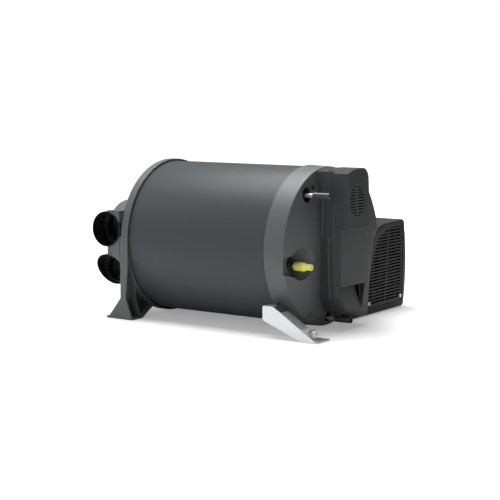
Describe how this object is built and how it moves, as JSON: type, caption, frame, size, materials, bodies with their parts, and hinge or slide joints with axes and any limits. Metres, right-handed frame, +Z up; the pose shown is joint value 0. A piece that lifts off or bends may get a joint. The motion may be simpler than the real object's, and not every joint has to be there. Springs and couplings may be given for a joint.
{
  "type": "caravan water heater",
  "caption": "Drum-shaped combined air and water heater lying on its side, with warm air sockets at one end and covers, water stubs and a boxed fan at the other.",
  "frame": {"origin": "centre of the bounding box's bottom face, on the floor under the heater", "axes": "+X along the drum towards the control unit, +Y from the front to the fan housing at the rear, +Z up"},
  "size_m": [0.51, 0.452, 0.299],
  "materials": {
    "shell_grey": "satin",
    "cap_grey": "fine texture",
    "socket_black": "semi gloss",
    "gasket_black": "matt",
    "cover_grey": "fine texture",
    "fan_box_grey": "fine texture",
    "fan_black": "moulded",
    "cap_yellow": "smooth",
    "tail_grey": "smooth",
    "galvanised": "zinc plated",
    "stainless": "bright",
    "cast_aluminium": "cast",
    "foam": "foamed",
    "brass": "bright",
    "motor_steel": "satin",
    "board_green": "lacquered",
    "board_black": "moulded"
  },
  "bodies": {
    "heater": {"air_distributor": "cap_grey", "board_parts": "board_black", "board_pillars": "board_black", "bracket_bolt": "galvanised", "burner_housing": "cast_aluminium", "circuit_board": "board_green", "circulation_fan_motor": "motor_steel", "cold_water_grommet": "gasket_black", "cold_water_hose_tail": "tail_grey", "cold_water_tube": "stainless", "combustion_air_collar": "stainless", "combustion_chamber": "stainless", "combustion_fan_housing": "cast_aluminium", "combustion_fan_motor": "motor_steel", "control_end_cap": "cap_grey", "control_gasket": "gasket_black", "cover_base": "cover_grey", "drum_shell": "shell_grey", "duct_socket_front_lower": "socket_black", "duct_socket_front_upper": "socket_black", "duct_socket_rear_lower": "socket_black", "duct_socket_rear_upper": "socket_black", "exhaust_tube": "stainless", "fan_housing": "fan_box_grey", "fan_inlet_ring": "fan_box_grey", "flue_boss": "cast_aluminium", "fuel_line": "stainless", "fuel_line_seal": "gasket_black", "glow_igniter": "brass", "grille_screws": "galvanised", "heat_exchanger": "cast_aluminium", "hot_water_grommet": "gasket_black", "hot_water_hose_tail": "tail_grey", "hot_water_tube": "stainless", "insulation_jacket": "foam", "intake_grille": "fan_box_grey", "lower_cover": "cover_grey", "mounting_bracket": "galvanised", "outlet_end_cap": "cap_grey", "outlet_gasket": "gasket_black", "upper_cover": "cover_grey", "water_sensor": "brass", "water_tank": "stainless"},
    "circulation_fan": {"circulation_fan_shaft": "stainless", "circulation_fan_wheel": "fan_black"},
    "combustion_fan": {"combustion_fan_wheel": "cast_aluminium"},
    "transport_cap": {"transport_cap": "cap_yellow"}
  },
  "joints": [
    {"name": "circulation_fan_spin", "type": "hinge", "parent": "heater", "child": "circulation_fan", "pos_m": [0.122, 0.138, 0.09], "axis": [1, 0, 0], "continuous": true},
    {"name": "combustion_fan_spin", "type": "hinge", "parent": "heater", "child": "combustion_fan", "pos_m": [0.18, -0.076, 0.15], "axis": [1, 0, 0], "continuous": true},
    {"name": "transport_cap_pull", "type": "slide", "parent": "heater", "child": "transport_cap", "axis": [1, 0, 0], "range_m": [0, 0.05]}
  ]
}
